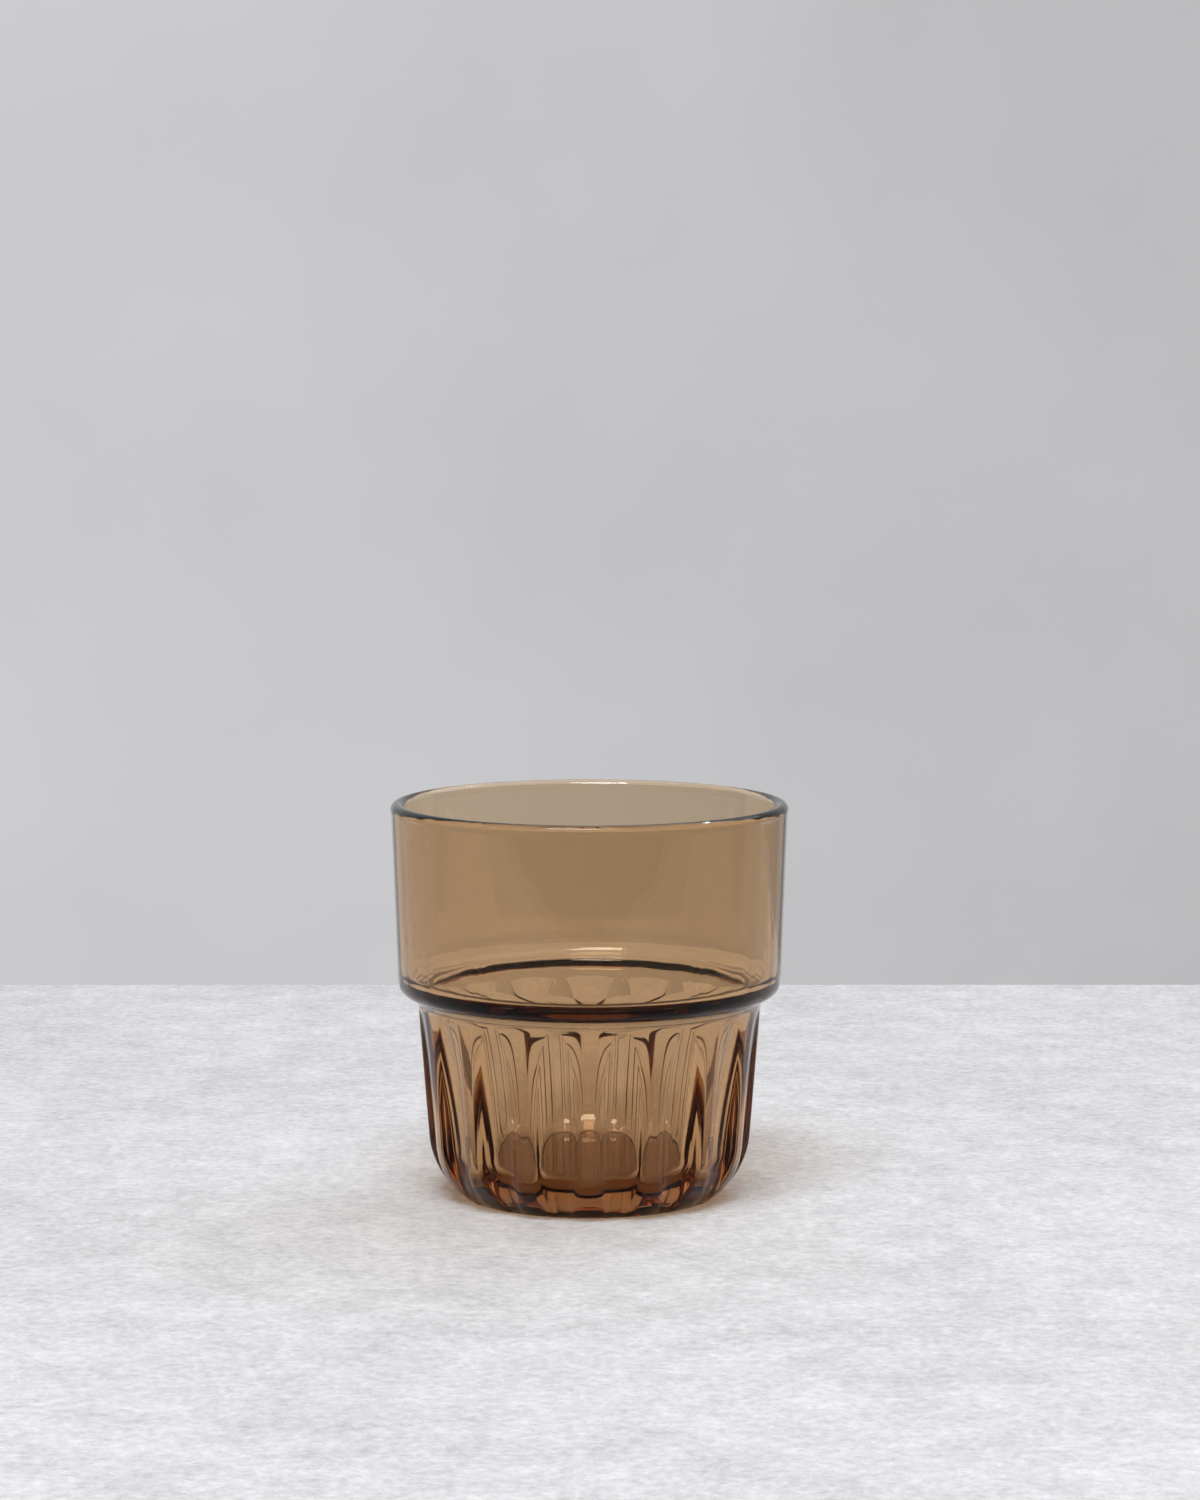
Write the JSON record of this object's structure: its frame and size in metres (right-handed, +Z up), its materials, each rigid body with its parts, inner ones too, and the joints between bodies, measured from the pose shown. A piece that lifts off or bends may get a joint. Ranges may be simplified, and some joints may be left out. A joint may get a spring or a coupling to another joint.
{
  "type": "cortado glass",
  "caption": "Small stacking coffee glass: plain wide band above a step, narrower fluted body with a rounded heel, and a smooth cavity, pressed in one piece with a brown tint.",
  "frame": {"origin": "centre of the flat foot, on the surface that the glass stands on", "axes": "+Z up along the axis of the glass, through the middle of its mouth; +X and +Y each pass through the middle of a land between two flutes"},
  "size_m": [0.075, 0.075, 0.0746],
  "materials": {
    "tinted_glass": "fire-polished clear glass with a brown tint on its outside"
  },
  "bodies": {
    "root": {"tumbler": "tinted_glass"}
  },
  "joints": []
}
